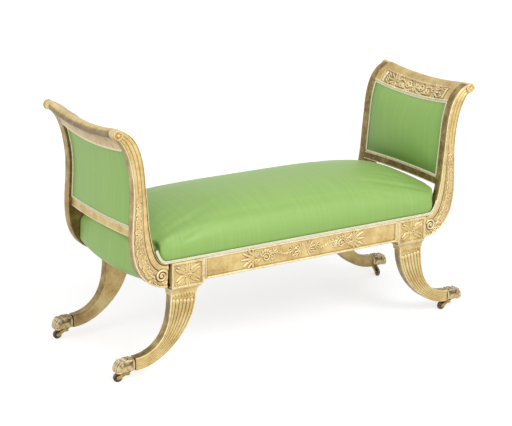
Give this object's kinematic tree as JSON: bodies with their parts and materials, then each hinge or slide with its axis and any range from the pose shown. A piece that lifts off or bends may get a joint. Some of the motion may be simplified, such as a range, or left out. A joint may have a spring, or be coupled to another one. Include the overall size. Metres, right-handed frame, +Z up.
{
  "type": "window seat",
  "caption": "Low giltwood window seat with scrolled, upholstered ends, a stuffed silk seat and reeded sabre legs on lion-paw castors.",
  "frame": {"origin": "on the floor under the middle of the seat", "axes": "+X along the seat to the sitter's left when facing the front, -Y to the front, +Z up"},
  "size_m": [1.4018, 0.504, 0.8199],
  "materials": {
    "giltwood": "water-gilt over pale bole, worn on the edges",
    "frame_wood": "bare beech",
    "silk": "ribbed green silk",
    "gimp": "woven cream braid",
    "canvas": "plain linen",
    "castor_brass": "old lacquered brass",
    "wheel_iron": "dark worn iron",
    "screw_steel": "plain steel"
  },
  "bodies": {
    "frame": {"front_rail": "giltwood", "back_rail": "giltwood", "cross_rail": "frame_wood", "end_rail_left": "frame_wood", "end_rail_right": "frame_wood", "corner_block_fl": "giltwood", "corner_block_fr": "giltwood", "corner_block_bl": "giltwood", "corner_block_br": "giltwood", "leg_fl": "giltwood", "leg_fr": "giltwood", "leg_bl": "giltwood", "leg_br": "giltwood", "stile_fl": "giltwood", "stile_fr": "giltwood", "stile_bl": "giltwood", "stile_br": "giltwood", "crest_rail_left": "giltwood", "crest_rail_right": "giltwood", "crest_bosses": "giltwood", "lower_rail_left": "giltwood", "lower_rail_right": "giltwood", "panel_pad_left": "silk", "panel_pad_right": "silk", "panel_webbing_left": "canvas", "panel_webbing_right": "canvas", "panel_cover_left": "silk", "panel_cover_right": "silk", "inner_gimp_left": "gimp", "inner_gimp_right": "gimp", "outer_gimp_left": "gimp", "outer_gimp_right": "gimp", "seat_cushion": "silk", "end_cover_left": "silk", "end_cover_right": "silk", "seat_gimp_front": "gimp", "seat_gimp_back": "gimp", "seat_webbing": "canvas", "bottom_cloth": "canvas", "corner_braces": "frame_wood", "brace_screws": "screw_steel", "leg_dowels": "frame_wood", "paw_cap_fl": "castor_brass", "paw_cap_fr": "castor_brass", "paw_cap_bl": "castor_brass", "paw_cap_br": "castor_brass", "castor_plates": "castor_brass"},
    "castor_fork_fl": {"castor_horn_fl": "castor_brass", "castor_axle_fl": "castor_brass"},
    "castor_wheel_fl": {"castor_wheel_fl": "wheel_iron"},
    "castor_fork_fr": {"castor_horn_fr": "castor_brass", "castor_axle_fr": "castor_brass"},
    "castor_wheel_fr": {"castor_wheel_fr": "wheel_iron"},
    "castor_fork_bl": {"castor_horn_bl": "castor_brass", "castor_axle_bl": "castor_brass"},
    "castor_wheel_bl": {"castor_wheel_bl": "wheel_iron"},
    "castor_fork_br": {"castor_horn_br": "castor_brass", "castor_axle_br": "castor_brass"},
    "castor_wheel_br": {"castor_wheel_br": "wheel_iron"}
  },
  "joints": [
    {"name": "swivel_fl", "type": "hinge", "parent": "frame", "child": "castor_fork_fl", "pos_m": [-0.648, -0.22, 0.026], "axis": [0, 0, 1], "continuous": true},
    {"name": "roll_fl", "type": "hinge", "parent": "castor_fork_fl", "child": "castor_wheel_fl", "pos_m": [-0.67951, -0.21444, 0.015], "axis": [0.1736, 0.9848, 0], "continuous": true},
    {"name": "swivel_fr", "type": "hinge", "parent": "frame", "child": "castor_fork_fr", "pos_m": [0.648, -0.22, 0.026], "axis": [0, 0, 1], "continuous": true},
    {"name": "roll_fr", "type": "hinge", "parent": "castor_fork_fr", "child": "castor_wheel_fr", "pos_m": [0.616, -0.22, 0.015], "axis": [0, 1, 0], "continuous": true},
    {"name": "swivel_bl", "type": "hinge", "parent": "frame", "child": "castor_fork_bl", "pos_m": [-0.648, 0.22, 0.026], "axis": [0, 0, 1], "continuous": true},
    {"name": "roll_bl", "type": "hinge", "parent": "castor_fork_bl", "child": "castor_wheel_bl", "pos_m": [-0.68, 0.22, 0.015], "axis": [0, 1, 0], "continuous": true},
    {"name": "swivel_br", "type": "hinge", "parent": "frame", "child": "castor_fork_br", "pos_m": [0.648, 0.22, 0.026], "axis": [0, 0, 1], "continuous": true},
    {"name": "roll_br", "type": "hinge", "parent": "castor_fork_br", "child": "castor_wheel_br", "pos_m": [0.63972, 0.18909, 0.015], "axis": [-0.9659, 0.2588, 0], "continuous": true}
  ]
}
